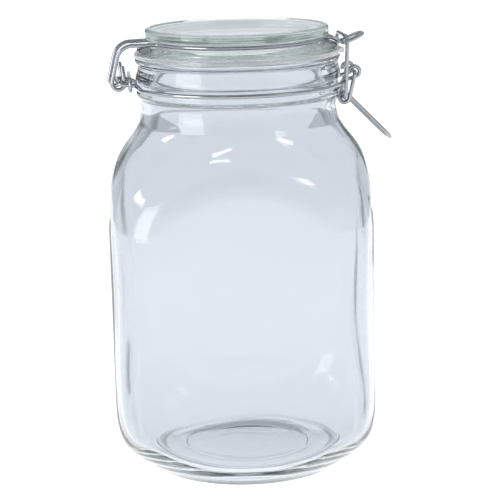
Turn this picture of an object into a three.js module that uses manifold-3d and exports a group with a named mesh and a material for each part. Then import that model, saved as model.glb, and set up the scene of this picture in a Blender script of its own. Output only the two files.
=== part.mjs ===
// An empty three litre storage jar of clear pressed glass with a wire bail lid.
// The body is square with rounded corners, and its shoulders turn into a round neck.
// A glass lid with a rubber seal swings on a wire hinge at -X.
// At +X a wire lever pulls a loop down over the tongue of the lid's wire.
// Millimetres, Z up. Sizes are given about the jar's axis, with the base at z = 0.
import * as THREE from "three";
import { mergeVertices } from "three/addons/utils/BufferGeometryUtils.js";
import Module from "manifold-3d";

const wasm = await Module();
wasm.setup();

// Driving dimensions of the glass body, whose flat faces stand turned under the clasp
const body = {
  turn: -8,
  halfWidth: 69.8,
  cornerRadius: 26.8,
  blend: 9,
  wall: 3.6,
  widest: 88.2,
  heelTop: 46.2,
  shoulderFoot: 138.6,
  shoulderTop: 195.6,
};

// How far each end of the heel's and the shoulder's curves aims straight on
const outerAim = { heelOut: 8.7, heelDown: 20.8, shoulderIn: 7.2, shoulderUp: 25.4, neckDown: 12.7 };
const innerAim = { heelOut: 10, heelDown: 18.2, shoulderIn: 6.6, shoulderUp: 22.4, neckDown: 16 };

// Driving dimensions of the base: the ring it stands on, the push-up and the floor inside
const base = {
  standRadius: 49.2,
  standWidth: 5,
  pushUp: 5,
  stepRadius: 34.7,
  stepWidth: 0.7,
  stepFoot: 4.2,
  slopeRadius: 41,
  slopeFoot: 2.2,
  floorMiddle: 11,
  floorFlat: 30,
  floorEdge: 50,
  floorLow: 6.5,
  floorAim: 7,
};

// Driving dimensions of the neck and mouth
const neck = {
  radius: 52.7,
  bore: 47.6,
  boreFoot: 197.6,
  beadFoot: 203.2,
  beadRadius: 54.8,
  beadRise: 2,
  beadTop: 207.2,
  grooveRadius: 54.1,
  bandFoot: 211.8,
  bandRadius: 55.1,
  bandTop: 215.3,
  waistRadius: 53.7,
  waistFoot: 220.7,
  waistTop: 221.9,
  lipRadius: 55.2,
  lipFoot: 222.9,
  rimTop: 224.7,
  edge: 0.8,
};

// Driving dimensions of the lid and of the rubber seal under its flange
const lid = {
  top: 240.5,
  discRadius: 49.3,
  discFoot: 235,
  discEdge: 1.6,
  grooveRadius: 44.2,
  flangeTop: 231.5,
  flangeFlat: 49,
  flangeRadius: 54,
  flangeEdge: 229.8,
  flangeFoot: 227.9,
  plugRadius: 45.6,
  plugFoot: 222.9,
  hollowFoot: 39.5,
  hollowRadius: 38,
  hollowBend: 4,
  hollowTop: 233.5,
  dishRadius: 41,
  dishSlope: 2,
  dishDepth: 0.8,
  edge: 0.7,
};
const seal = {
  outerRadius: 55.5,
  innerRadius: 46.4,
  foot: 225,
  top: 227.6,
  tabReach: 56.7,
  tabMiddle: -5,
  tabWidth: 9,
  tabRoot: 52.5,
  tabEdge: 1.4,
};

// Driving dimensions of the wirework, as x and z of each centre and half spreads in y
const wire = { radius: 1.1, sides: 6, bend: 1.6, turnStep: 36, ringStep: 9 };
const neckRing = { radius: 56.2, height: 209.6, eyeBend: 3.2, hingeBend: 5 };
const lidRing = { radius: 45.7, height: 233.2, armBend: 4, tongueBend: 2 };
const hinge = { x: -65.2, z: 213.3, halfSpread: 13.8, neckX: -56.3, neckZ: 212.2, ringY: 17 };
const hingeBend = { neck: 3, bar: 2 };
const arm = { halfSpread: 10, ringY: 13.7, bendX: -63.9, bendZ: 233, bendRadius: 9, hookRadius: 3.4 };
const hookEnd = { x: -62.9, z: 222.5 };
const tie = { x: -58.6, halfWidth: 16.6, halfHeight: 3, slant: 0.05, gap: 1, bend: 2.6 };
const pivot = { x: 62, z: 214.3, halfSpread: 11.9, innerEnd: 7.2 };
const eye = { halfSpread: 9.4, radius: 2.9, startAngle: 195 };
const coil = { x: 56.2, z: 200.6, radius: 2.5, innerSpread: 9.1 };
const handle = { x: 83, z: 176.6, tipRadius: 8 };
const loop = { x: 57.6, z: 233.7, halfSpread: 14.4, innerEnd: 7.4, cornerRadius: 3 };
const tongue = {
  halfSpread: 6,
  kneeX: 50.5,
  kneeZ: 232.9,
  kneeRadius: 4,
  crookX: 57.8,
  crookZ: 229.45,
  crookRadius: 3,
  tipX: 68.2,
  tipZ: 234,
  tipRadius: 4.5,
};

// Fineness of the turned and moulded surfaces
const turnSides = 68;
const outerSteps = 8;
const innerSteps = 6;
const floorSteps = 4;
const shoulderSteps = 7;
const cornerCrowding = 0.11;
const mergeWithin = 1e-4;

// Colours and surfaces
const glassLook = { color: 0xdde4ea, roughness: 0.05, metalness: 0, transparent: true, opacity: 0.35 };
const steelLook = { color: 0xc2c6c9, roughness: 0.22, metalness: 1 };
const rubberLook = { color: 0xdadfe2, roughness: 0.5, metalness: 0 };

const radians = THREE.MathUtils.degToRad;
const point = (x, y, z) => new THREE.Vector3(x, y, z);

// Turns a geometry into a solid, with shared corners merged and its faces turned outwards
function solidOf(geometry) {
  geometry.deleteAttribute("normal");
  geometry.deleteAttribute("uv");
  const merged = mergeVertices(geometry, mergeWithin);
  const place = merged.getAttribute("position");
  const corners = Array.from(merged.index.array);
  const triangles = [];
  let volume = 0;
  for (let i = 0; i < corners.length; i += 3) {
    const [a, b, c] = corners.slice(i, i + 3);
    if (a === b || b === c || c === a) continue;
    const [pa, pb, pc] = [a, b, c].map((n) => point().fromBufferAttribute(place, n));
    volume += pa.dot(pb.cross(pc));
    triangles.push([a, b, c]);
  }
  if (volume < 0) triangles.forEach((triangle) => triangle.reverse());
  return new wasm.Manifold(new wasm.Mesh({
    numProp: 3,
    vertProperties: new Float32Array(place.array),
    triVerts: new Uint32Array(triangles.flat()),
  }));
}

// Turns a solid back into a geometry
function geometryOf(solid) {
  const mesh = solid.getMesh();
  const geometry = new THREE.BufferGeometry();
  geometry.setAttribute("position", new THREE.BufferAttribute(mesh.vertProperties, 3));
  geometry.setIndex(new THREE.BufferAttribute(mesh.triVerts, 1));
  geometry.computeVertexNormals();
  return geometry;
}

// A surface turned about the Z axis from [radius, height] pairs
function lathed(profile) {
  const points = profile.map(([radius, height]) => new THREE.Vector2(radius, height));
  return new THREE.LatheGeometry(points, turnSides).rotateX(Math.PI / 2);
}

const turned = (profile) => solidOf(lathed(profile));

// How far a square bar with rounded corners reaches from its axis in a direction
function barReach(angle, halfWidth, cornerRadius) {
  const quarter = Math.PI / 2;
  const offFace = Math.abs(angle - quarter * Math.round(angle / quarter));
  const flat = halfWidth - cornerRadius;
  const toFace = halfWidth / Math.cos(offFace);
  if (toFace * Math.sin(offFace) <= flat) return toFace;
  const toCorner = flat * (Math.cos(offFace) + Math.sin(offFace));
  return toCorner + Math.sqrt(toCorner ** 2 - 2 * flat ** 2 + cornerRadius ** 2);
}

// The smaller of two reaches, with a soft edge where they are nearly alike
function softLeast(first, second) {
  const gap = Math.abs(first - second);
  const least = Math.min(first, second);
  return gap < body.blend ? least - (body.blend - gap) ** 2 / (4 * body.blend) : least;
}

// A turned solid pressed square where it is wide, with its columns crowded at the corners
function pressed(profile, halfWidth, cornerRadius) {
  const geometry = lathed(profile);
  const place = geometry.getAttribute("position");
  for (let n = 0; n < place.count; n += 1) {
    const [x, y] = [place.getX(n), place.getY(n)];
    const even = Math.atan2(y, x);
    const angle = even + cornerCrowding * Math.sin(4 * even);
    const reach = softLeast(Math.hypot(x, y), barReach(angle, halfWidth, cornerRadius));
    place.setXY(n, reach * Math.cos(angle), reach * Math.sin(angle));
  }
  return solidOf(geometry);
}

// Points along a cubic curve between two [radius, height] pairs
function curved(start, first, second, end, steps) {
  const ends = [start, first, second, end].map(([x, y]) => new THREE.Vector2(x, y));
  return new THREE.CubicBezierCurve(...ends).getPoints(steps).map((p) => [p.x, p.y]);
}

// The heel's and the shoulder's curves, from a foot near the base up to a neck
function sideCurves(foot, widest, top, aim, heelSteps) {
  const heel = curved(
    foot,
    [foot[0] + aim.heelOut, foot[1]],
    [widest, body.heelTop - aim.heelDown],
    [widest, body.heelTop],
    heelSteps,
  );
  const shoulder = curved(
    [widest, body.shoulderFoot],
    [widest - aim.shoulderIn, body.shoulderFoot + aim.shoulderUp],
    [top[0], top[1] - aim.neckDown],
    top,
    shoulderSteps,
  );
  return [...heel, ...shoulder];
}

// The moulded body without its hollow
function bodyBlock() {
  const foot = [base.standRadius, 0];
  const top = [neck.radius, body.shoulderTop];
  const outline = [
    [0, base.pushUp],
    [base.stepRadius, base.pushUp],
    [base.stepRadius + base.stepWidth, base.stepFoot],
    [base.slopeRadius, base.slopeFoot],
    [base.standRadius - base.standWidth, 0],
    ...sideCurves(foot, body.widest, top, outerAim, outerSteps),
    [neck.radius, neck.beadFoot],
    [neck.beadRadius, neck.beadFoot + neck.beadRise],
    [neck.beadRadius, neck.beadTop - neck.edge],
    [neck.grooveRadius, neck.beadTop],
    [neck.grooveRadius, neck.bandFoot],
    [neck.bandRadius, neck.bandFoot + neck.edge],
    [neck.bandRadius, neck.bandTop],
    [neck.waistRadius, neck.waistFoot],
    [neck.waistRadius, neck.waistTop],
    [neck.lipRadius, neck.lipFoot],
    [neck.lipRadius, neck.rimTop - neck.edge],
    [neck.lipRadius - neck.edge, neck.rimTop],
    [0, neck.rimTop],
  ];
  return pressed(outline, body.halfWidth, body.cornerRadius);
}

// The hollow inside the body, one wall thickness in, with the round bore of the neck
function bodyHollow() {
  const foot = [base.floorEdge, base.floorLow];
  const widest = body.widest - body.wall;
  const floor = curved(
    [base.floorFlat, base.floorMiddle],
    [base.floorFlat + base.floorAim, base.floorMiddle],
    [base.floorEdge - base.floorAim, base.floorLow],
    foot,
    floorSteps,
  );
  const above = neck.rimTop + neck.edge;
  const outline = [
    [0, base.floorMiddle],
    ...floor.slice(0, -1),
    ...sideCurves(foot, widest, [neck.bore, neck.boreFoot], innerAim, innerSteps),
    [neck.bore, neck.rimTop - neck.edge],
    [neck.bore + 2 * neck.edge, above],
    [0, above],
  ];
  return pressed(outline, body.halfWidth - body.wall, body.cornerRadius - body.wall);
}

function glassJar() {
  return geometryOf(bodyBlock().subtract(bodyHollow()));
}

// The pressed lid: top disc, groove for its wire, flange over the seal, plug and hollow
function glassLid() {
  return geometryOf(turned([
    [0, lid.hollowTop],
    [lid.hollowRadius - lid.hollowBend, lid.hollowTop],
    [lid.hollowRadius, lid.hollowTop - lid.hollowBend],
    [lid.hollowFoot, lid.plugFoot],
    [lid.plugRadius - lid.edge, lid.plugFoot],
    [lid.plugRadius, lid.plugFoot + lid.edge],
    [lid.plugRadius, lid.flangeFoot],
    [lid.flangeRadius - lid.edge, lid.flangeFoot],
    [lid.flangeRadius, lid.flangeFoot + lid.edge],
    [lid.flangeRadius, lid.flangeEdge],
    [lid.flangeFlat, lid.flangeTop],
    [lid.grooveRadius, lid.flangeTop],
    [lid.grooveRadius, lid.discFoot],
    [lid.discRadius - lid.edge, lid.discFoot],
    [lid.discRadius, lid.discFoot + lid.edge],
    [lid.discRadius, lid.top - lid.discEdge],
    [lid.discRadius - lid.discEdge, lid.top],
    [lid.dishRadius, lid.top],
    [lid.dishRadius - lid.dishSlope, lid.top - lid.dishDepth],
    [0, lid.top - lid.dishDepth],
  ]));
}

// The flat seal with its pull tab
function sealRing() {
  const ring = turned([
    [seal.innerRadius, seal.foot],
    [seal.outerRadius, seal.foot],
    [seal.outerRadius, seal.top],
    [seal.innerRadius, seal.top],
    [seal.innerRadius, seal.foot],
  ]);
  const near = seal.tabMiddle - seal.tabWidth / 2;
  const far = seal.tabMiddle + seal.tabWidth / 2;
  const outline = new THREE.Shape();
  outline.moveTo(seal.tabRoot, near);
  outline.lineTo(seal.tabReach - seal.tabEdge, near);
  outline.lineTo(seal.tabReach, near + seal.tabEdge);
  outline.lineTo(seal.tabReach, far - seal.tabEdge);
  outline.lineTo(seal.tabReach - seal.tabEdge, far);
  outline.lineTo(seal.tabRoot, far);
  const settings = { depth: seal.top - seal.foot, bevelEnabled: false };
  const tab = solidOf(new THREE.ExtrudeGeometry(outline, settings).translate(0, 0, seal.foot));
  return geometryOf(ring.add(tab));
}

// A curve that keeps to the points it is given, close together only where the wire bends
class WireRoute extends THREE.Curve {
  constructor(points) {
    super();
    this.points = points;
  }

  getPointAt(u, target = point()) {
    return target.copy(this.points[Math.round(u * (this.points.length - 1))]);
  }

  getTangentAt(u, target = point()) {
    const last = this.points.length - 1;
    const here = Math.round(u * last);
    const middle = this.points[here];
    target.set(0, 0, 0);
    if (here < last) target.add(this.points[here + 1].clone().sub(middle).normalize());
    if (here > 0) target.add(middle.clone().sub(this.points[here - 1]).normalize());
    return target.normalize();
  }
}

// A wire along a route, with a round section of a few sides and closed ends
function wireAlong(points) {
  const section = new THREE.Shape();
  section.setFromPoints(Array.from({ length: wire.sides }, (_, side) => {
    const angle = (side * 2 * Math.PI) / wire.sides;
    return new THREE.Vector2(wire.radius * Math.cos(angle), wire.radius * Math.sin(angle));
  }));
  const settings = { steps: points.length - 1, extrudePath: new WireRoute(points) };
  return geometryOf(solidOf(new THREE.ExtrudeGeometry(section, settings)));
}

// Points along an arc, where place gives the point at an angle in degrees
function arcPoints(from, to, step, place) {
  const count = Math.max(1, Math.ceil(Math.abs(to - from) / step));
  return Array.from({ length: count + 1 }, (_, n) => place(radians(from + ((to - from) * n) / count)));
}

// A route through corners, each a point with the radius that it is bent to
function bentRoute(corners) {
  const route = [];
  corners.forEach(({ at, radius = 0 }, n) => {
    if (radius === 0 || n === 0 || n === corners.length - 1) {
      route.push(at);
      return;
    }
    const back = corners[n - 1].at.clone().sub(at).normalize();
    const onward = corners[n + 1].at.clone().sub(at).normalize();
    const half = back.angleTo(onward) / 2;
    const inwards = back.clone().add(onward).normalize();
    const centre = at.clone().addScaledVector(inwards, radius / Math.sin(half));
    const start = at.clone().addScaledVector(back, radius / Math.tan(half)).sub(centre);
    const turn = 180 - THREE.MathUtils.radToDeg(2 * half);
    route.push(...arcPoints(0, turn, wire.turnStep, (angle) => centre.clone()
      .addScaledVector(start, Math.cos(angle))
      .addScaledVector(back, -radius * Math.sin(angle))));
  });
  return route;
}

// Corners mirrored in the XZ plane, so that both ends of a wire are alike
function bothSides(corners) {
  const mirrored = corners.map(({ at, radius }) => ({ at: point(at.x, -at.y, at.z), radius }));
  return bentRoute([...corners, ...mirrored.reverse()]);
}

const asCorners = (points) => points.map((at) => ({ at }));

// The front half of a level ring, from one angle to another
function ringCorners(ring, from, to) {
  return asCorners(arcPoints(from, to, wire.ringStep, (angle) =>
    point(ring.radius * Math.cos(angle), ring.radius * Math.sin(angle), ring.height)));
}

// The angle, in degrees, at which a ring passes a distance from the XZ plane
function ringAngle(ring, distance) {
  return THREE.MathUtils.radToDeg(Math.asin(distance / ring.radius));
}

// The angle, in degrees, at which a straight run from a far point meets a turn of wire
function tangentAngle(centre, radius, far, side) {
  const across = far.x - centre.x;
  const up = far.z - centre.z;
  const opening = Math.acos(radius / Math.hypot(across, up));
  return THREE.MathUtils.radToDeg(Math.atan2(up, across) + side * opening);
}

// The neck's wire: an eye, half the ring, the hinge bar, the other half and the other eye
function neckWire() {
  const eyeTurn = arcPoints(eye.startAngle, -90, wire.turnStep, (angle) => point(
    pivot.x + eye.radius * Math.cos(angle),
    -eye.halfSpread,
    pivot.z + eye.radius * Math.sin(angle),
  ));
  const leave = -ringAngle(neckRing, eye.halfSpread);
  const arrive = -180 + ringAngle(neckRing, hinge.ringY);
  const ring = ringCorners(neckRing, leave, arrive);
  ring[0].radius = neckRing.eyeBend;
  ring[ring.length - 1].radius = neckRing.hingeBend;
  return wireAlong(bothSides([
    ...asCorners(eyeTurn),
    ...ring,
    { at: point(hinge.neckX, -hinge.halfSpread, hinge.neckZ), radius: hingeBend.neck },
    { at: point(hinge.x, -hinge.halfSpread, hinge.z), radius: hingeBend.bar },
  ]));
}

// The short wire wrapped round both strands of the hinge bar, with its ends apart below
function hingeTie() {
  const middle = (hinge.neckZ + hinge.z) / 2;
  const corner = (y, z, radius) => ({ at: point(tie.x + tie.slant * y, y, middle + z), radius });
  return wireAlong(bentRoute([
    corner(-tie.gap, -tie.halfHeight),
    corner(-tie.halfWidth, -tie.halfHeight, tie.bend),
    corner(-tie.halfWidth, tie.halfHeight, tie.bend),
    corner(tie.halfWidth, tie.halfHeight, tie.bend),
    corner(tie.halfWidth, -tie.halfHeight, tie.bend),
    corner(tie.gap, -tie.halfHeight),
  ]));
}

// The lid's wire: a hook on the hinge bar, an arm, half the ring, the tongue, and back
function lidWire() {
  const armTop = { x: arm.bendX, z: arm.bendZ };
  const hookStart = tangentAngle(hinge, arm.hookRadius, hookEnd, -1);
  const armFoot = tangentAngle(hinge, arm.hookRadius, armTop, 1) - 360;
  const hook = arcPoints(hookStart, armFoot, wire.turnStep, (angle) => point(
    hinge.x + arm.hookRadius * Math.cos(angle),
    -arm.halfSpread,
    hinge.z + arm.hookRadius * Math.sin(angle),
  ));
  const arrive = -180 + ringAngle(lidRing, arm.ringY);
  const leave = -ringAngle(lidRing, tongue.halfSpread);
  const ring = ringCorners(lidRing, arrive, leave);
  ring[0].radius = lidRing.armBend;
  ring[ring.length - 1].radius = lidRing.tongueBend;
  const tongueCorner = (x, z, radius) => ({ at: point(x, -tongue.halfSpread, z), radius });
  return wireAlong(bothSides([
    { at: point(hookEnd.x, -arm.halfSpread, hookEnd.z) },
    ...asCorners(hook),
    { at: point(armTop.x, -arm.halfSpread, armTop.z), radius: arm.bendRadius },
    ...ring,
    tongueCorner(tongue.kneeX, tongue.kneeZ, tongue.kneeRadius),
    tongueCorner(tongue.crookX, tongue.crookZ, tongue.crookRadius),
    tongueCorner(tongue.tipX, tongue.tipZ, tongue.tipRadius),
  ]));
}

// The lever: a pivot end in the eye, an arm, a coil, and half of the handle, on each side
function leverWire() {
  const start = tangentAngle(coil, coil.radius, pivot, -1);
  const end = tangentAngle(coil, coil.radius, handle, 1) - 360;
  const inwards = (pivot.halfSpread - coil.innerSpread) / radians(end - start);
  const turns = arcPoints(start, end, wire.turnStep, (angle) => point(
    coil.x + coil.radius * Math.cos(angle),
    -pivot.halfSpread + inwards * (angle - radians(start)),
    coil.z + coil.radius * Math.sin(angle),
  ));
  return wireAlong(bothSides([
    { at: point(pivot.x, -pivot.innerEnd, pivot.z) },
    { at: point(pivot.x, -pivot.halfSpread, pivot.z), radius: wire.bend },
    ...asCorners(turns),
    { at: point(handle.x, -coil.innerSpread, handle.z), radius: handle.tipRadius },
  ]));
}

// The loop that hooks over the tongue, with its ends turned in through the lever's coils
function latchLoop() {
  return wireAlong(bothSides([
    { at: point(coil.x, -loop.innerEnd, coil.z) },
    { at: point(coil.x, -loop.halfSpread, coil.z), radius: wire.bend },
    { at: point(loop.x, -loop.halfSpread, loop.z), radius: loop.cornerRadius },
  ]));
}

// A named piece with its own material
function piece(name, geometry, look) {
  const mesh = new THREE.Mesh(geometry, new THREE.MeshStandardMaterial(look));
  mesh.name = name;
  return mesh;
}

const jar = piece("glass_jar", glassJar(), glassLook);
jar.rotation.z = radians(body.turn);

const canister = new THREE.Group();
canister.add(
  jar,
  piece("neck_wire", neckWire(), steelLook),
  piece("hinge_tie", hingeTie(), steelLook),
  piece("glass_lid", glassLid(), glassLook),
  piece("seal_ring", sealRing(), rubberLook),
  piece("lid_wire", lidWire(), steelLook),
  piece("lever_wire", leverWire(), steelLook),
  piece("latch_loop", latchLoop(), steelLook),
);

// The handle reaches further out than the body does, so the whole is centred on its width
const reach = new THREE.Box3().setFromObject(canister, true);
canister.position.x = -(reach.min.x + reach.max.x) / 2;
canister.updateMatrixWorld(true);

export default canister;
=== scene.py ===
"""Dresses an empty glass storage jar with a wire bail lid.

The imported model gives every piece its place. The glass, the seal and the wires are made
again here with fine surfaces in the same places, and each gets its own finish.
Sizes are in millimetres about the jar's axis until at() turns them into the frame's metres.
"""

import logging
import math
from collections.abc import Callable
from dataclasses import dataclass
from enum import Enum

import bpy
from mathutils import Matrix, Vector


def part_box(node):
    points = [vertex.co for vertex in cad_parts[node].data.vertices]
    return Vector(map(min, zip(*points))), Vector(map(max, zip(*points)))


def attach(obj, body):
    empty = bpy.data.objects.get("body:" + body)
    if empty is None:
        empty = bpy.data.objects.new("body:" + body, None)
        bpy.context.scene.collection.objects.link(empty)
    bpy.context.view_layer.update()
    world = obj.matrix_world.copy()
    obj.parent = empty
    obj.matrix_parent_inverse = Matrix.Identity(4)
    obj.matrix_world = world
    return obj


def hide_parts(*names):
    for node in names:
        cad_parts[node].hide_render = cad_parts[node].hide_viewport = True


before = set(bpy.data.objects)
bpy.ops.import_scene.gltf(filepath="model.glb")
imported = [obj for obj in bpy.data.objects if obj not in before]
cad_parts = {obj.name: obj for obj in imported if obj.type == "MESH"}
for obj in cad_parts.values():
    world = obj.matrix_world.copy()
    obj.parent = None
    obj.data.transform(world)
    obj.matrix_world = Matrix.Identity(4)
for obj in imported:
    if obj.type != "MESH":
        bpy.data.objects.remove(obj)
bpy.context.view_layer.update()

LOG = logging.getLogger("canister")
MM = 0.001

# Degrees clockwise from above that the camera, the room and the jar's faces are turned.
CAMERA_TURN = 8.0

# Height that the lights are aimed at, in millimetres.
JAR_MIDDLE = 120.0

Pair = tuple[float, float]
Triple = tuple[float, float, float]
Shaping = Callable[[float, float, float], Pair]

# Where the lid and the lever turn, as x and z in millimetres.
HINGE: Pair = (-65.2, 213.3)
PIVOT: Pair = (62.0, 214.3)


class Body(Enum):
    """The bodies that move against each other."""

    JAR = "jar"
    LID = "lid"
    LEVER = "lever"
    LATCH = "latch"


class Slot(Enum):
    """Names of slots for finishes; place_piece takes one and does not use it."""

    JAR_GLASS = "jar_glass"
    LID_GLASS = "lid_glass"
    WIRE = "wire"
    SEAL = "seal"


def jar_axis_x() -> float:
    """The x of the jar's upright axis, in metres in the frame."""
    low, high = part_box("glass_jar")
    return (low[0] + high[0]) / 2


AXIS_X = jar_axis_x()


def at(x: float, y: float, z: float) -> Vector:
    """A point given in millimetres about the jar's axis, in the frame's metres."""
    return Vector((x * MM + AXIS_X, y * MM, z * MM))


def linear(hex_colour: str) -> tuple[float, float, float, float]:
    """Turns an sRGB hex colour into linear light.

    Args:
        hex_colour: A hash and six hex digits.

    Returns:
        Red, green, blue and an alpha of one.
    """
    parts = []
    for start in (1, 3, 5):
        value = int(hex_colour[start : start + 2], 16) / 255
        low = value / 12.92
        parts.append(low if value <= 0.04045 else ((value + 0.055) / 1.055) ** 2.4)
    return parts[0], parts[1], parts[2], 1.0


def add_node(
    tree: bpy.types.NodeTree,
    kind: str,
    links: dict[str, bpy.types.NodeSocket] | None = None,
    **settings: object,
) -> bpy.types.Node:
    """Adds a node with its settings and links.

    Args:
        tree: The tree that gets the node.
        kind: Blender's name for the type of node.
        links: The sockets that feed the node's inputs, by the input's name.
        settings: The node's own properties, and values of its inputs, with _ for spaces.

    Returns:
        The new node.
    """
    node = tree.nodes.new(kind)
    for name, value in settings.items():
        if hasattr(node, name):
            setattr(node, name, value)
        else:
            node.inputs[name.replace("_", " ")].default_value = value
    for name, socket in (links or {}).items():
        tree.links.new(socket, node.inputs[name])
    return node


def new_material(name: str) -> bpy.types.Material:
    """Starts a material.

    Args:
        name: The material's name.

    Returns:
        The material, with an empty node tree.
    """
    material = bpy.data.materials.new(name)
    material.use_nodes = True
    material.node_tree.nodes.clear()
    return material


def uneven_skin(
    tree: bpy.types.NodeTree,
    spacing: float,
    height: float,
    strength: float = 1.0,
    **settings: float,
) -> bpy.types.NodeSocket:
    """Adds low bumps that lie evenly all over a surface.

    Args:
        tree: The material's node tree.
        spacing: Distance between the bumps, in millimetres.
        height: Their height, in millimetres.
        strength: Share of that height that counts.
        settings: Values of the noise's other inputs.

    Returns:
        The bumped normal.
    """
    place = add_node(tree, "ShaderNodeTexCoord").outputs["Object"]
    scale = 1 / (spacing * MM)
    noise = add_node(tree, "ShaderNodeTexNoise", {"Vector": place}, Scale=scale, **settings)
    rise = {"Height": noise.outputs["Fac"]}
    bump = add_node(tree, "ShaderNodeBump", rise, Strength=strength, Distance=height * MM)
    return bump.outputs["Normal"]


@dataclass(frozen=True)
class PressedGlass:
    """Soda-lime glass, pressed in a mould and fire-polished.

    It gives the eye sharp reflections on a faintly wavy skin, with fine level lines where
    the mould was turned, and a cool grey-green that gathers only where the light has gone
    a long way inside the glass.

    Attributes:
        name: The material's name.
        skin: Colour that one wall gives the light that goes through it.
        depth: Colour of the light that is left after a long way inside.
        density: How fast that colour gathers, for each metre.
        ripple: Distance between the waves of the skin, in millimetres.
        ripple_height: Height of those waves, in millimetres.
        line: Distance between the mould's turning lines, in millimetres.
        line_stretch: How many times longer than that distance a line is.
        line_height: Height of those lines, in millimetres.
        plain: Heights above the table between which there are none, in millimetres.
        fade: Height over which they fade out, in millimetres.
        ior: Refractive index of soda-lime glass.
        roughness: Roughness of a fire-polished skin.
    """

    name: str
    skin: str = "#E2E4E8"
    depth: str = "#DAE0E1"
    density: float = 18.0
    ripple: float = 24.0
    ripple_height: float = 0.05
    line: float = 1.3
    line_stretch: float = 40.0
    line_height: float = 0.02
    plain: Pair = (13.0, 201.0)
    fade: float = 2.0
    ior: float = 1.52
    roughness: float = 0.01

    def build(self) -> bpy.types.Material:
        """Makes the material.

        Returns:
            The finish, for a piece's material slot.
        """
        material = new_material(self.name)
        tree = material.node_tree
        place = add_node(tree, "ShaderNodeTexCoord").outputs["Object"]
        waves = uneven_skin(tree, self.ripple, self.ripple_height, Detail=1.5, Roughness=0.45)
        along = 1 / (self.line * self.line_stretch * MM)
        across = 1 / (self.line * MM)
        stretched = add_node(
            tree, "ShaderNodeMapping", {"Vector": place}, Scale=(along, along, across)
        )
        spots = {"Vector": stretched.outputs["Vector"]}
        lines = add_node(tree, "ShaderNodeTexNoise", spots, Scale=1.0)
        middle = sum(self.plain) / 2
        offset = add_node(tree, "ShaderNodeVectorMath", {"Vector": place}, operation="SUBTRACT")
        offset.inputs[1].default_value = (0, 0, middle * MM)
        parts = add_node(tree, "ShaderNodeSeparateXYZ", {"Vector": offset.outputs["Vector"]})
        rise = {"Value": parts.outputs["Z"]}
        far = add_node(tree, "ShaderNodeMath", rise, operation="ABSOLUTE").outputs["Value"]
        turned = add_node(
            tree,
            "ShaderNodeMapRange",
            {"Value": far},
            From_Min=(self.plain[1] - middle) * MM,
            From_Max=(self.plain[1] - middle + self.fade) * MM,
            To_Max=1.0,
        )
        bump = add_node(
            tree,
            "ShaderNodeBump",
            {
                "Height": lines.outputs["Fac"],
                "Strength": turned.outputs["Result"],
                "Normal": waves,
            },
            Distance=self.line_height * MM,
        )
        glass = add_node(
            tree,
            "ShaderNodeBsdfPrincipled",
            {"Normal": bump.outputs["Normal"]},
            Base_Color=linear(self.skin),
            Roughness=self.roughness,
            IOR=self.ior,
            Transmission_Weight=1.0,
        )
        tint = linear(self.depth)
        inside = add_node(tree, "ShaderNodeVolumeAbsorption", Color=tint, Density=self.density)
        sockets = {"Surface": glass.outputs["BSDF"], "Volume": inside.outputs["Volume"]}
        add_node(tree, "ShaderNodeOutputMaterial", sockets)
        return material


@dataclass(frozen=True)
class DrawnSteelWire:
    """Bright steel wire, drawn through a die and plated.

    It gives the eye a near mirror, with fine lines along the wire that soften the gloss.

    Attributes:
        name: The material's name.
        colour: Colour of the metal.
        roughness: Typical roughness of the drawn surface.
        spread: How many times that roughness the brightest and the dullest lines have.
        line: Width of a drawing line, in millimetres; real ones are finer, and these are
            as coarse as they need to be to show.
        line_height: Height of a drawing line, in millimetres.
        line_strength: Share of that height that counts.
    """

    name: str = "bright_drawn_steel_wire"
    colour: str = "#A9ACAF"
    roughness: float = 0.12
    spread: Pair = (0.6, 1.5)
    line: float = 0.35
    line_height: float = 0.02
    line_strength: float = 0.35

    def build(self) -> bpy.types.Material:
        """Makes the material.

        Returns:
            The finish, for a piece's material slot.
        """
        material = new_material(self.name)
        tree = material.node_tree
        place = add_node(tree, "ShaderNodeAttribute", attribute_name=Tube.GRAIN)
        lines = add_node(
            tree,
            "ShaderNodeTexNoise",
            {"Vector": place.outputs["Vector"]},
            Scale=1 / self.line,
        ).outputs["Fac"]
        gloss = add_node(
            tree,
            "ShaderNodeMapRange",
            {"Value": lines},
            To_Min=self.roughness * self.spread[0],
            To_Max=self.roughness * self.spread[1],
        )
        bump = add_node(
            tree,
            "ShaderNodeBump",
            {"Height": lines},
            Strength=self.line_strength,
            Distance=self.line_height * MM,
        )
        metal = add_node(
            tree,
            "ShaderNodeBsdfPrincipled",
            {"Roughness": gloss.outputs["Result"], "Normal": bump.outputs["Normal"]},
            Base_Color=linear(self.colour),
            Metallic=1.0,
        )
        add_node(tree, "ShaderNodeOutputMaterial", {"Surface": metal.outputs["BSDF"]})
        return material


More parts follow.
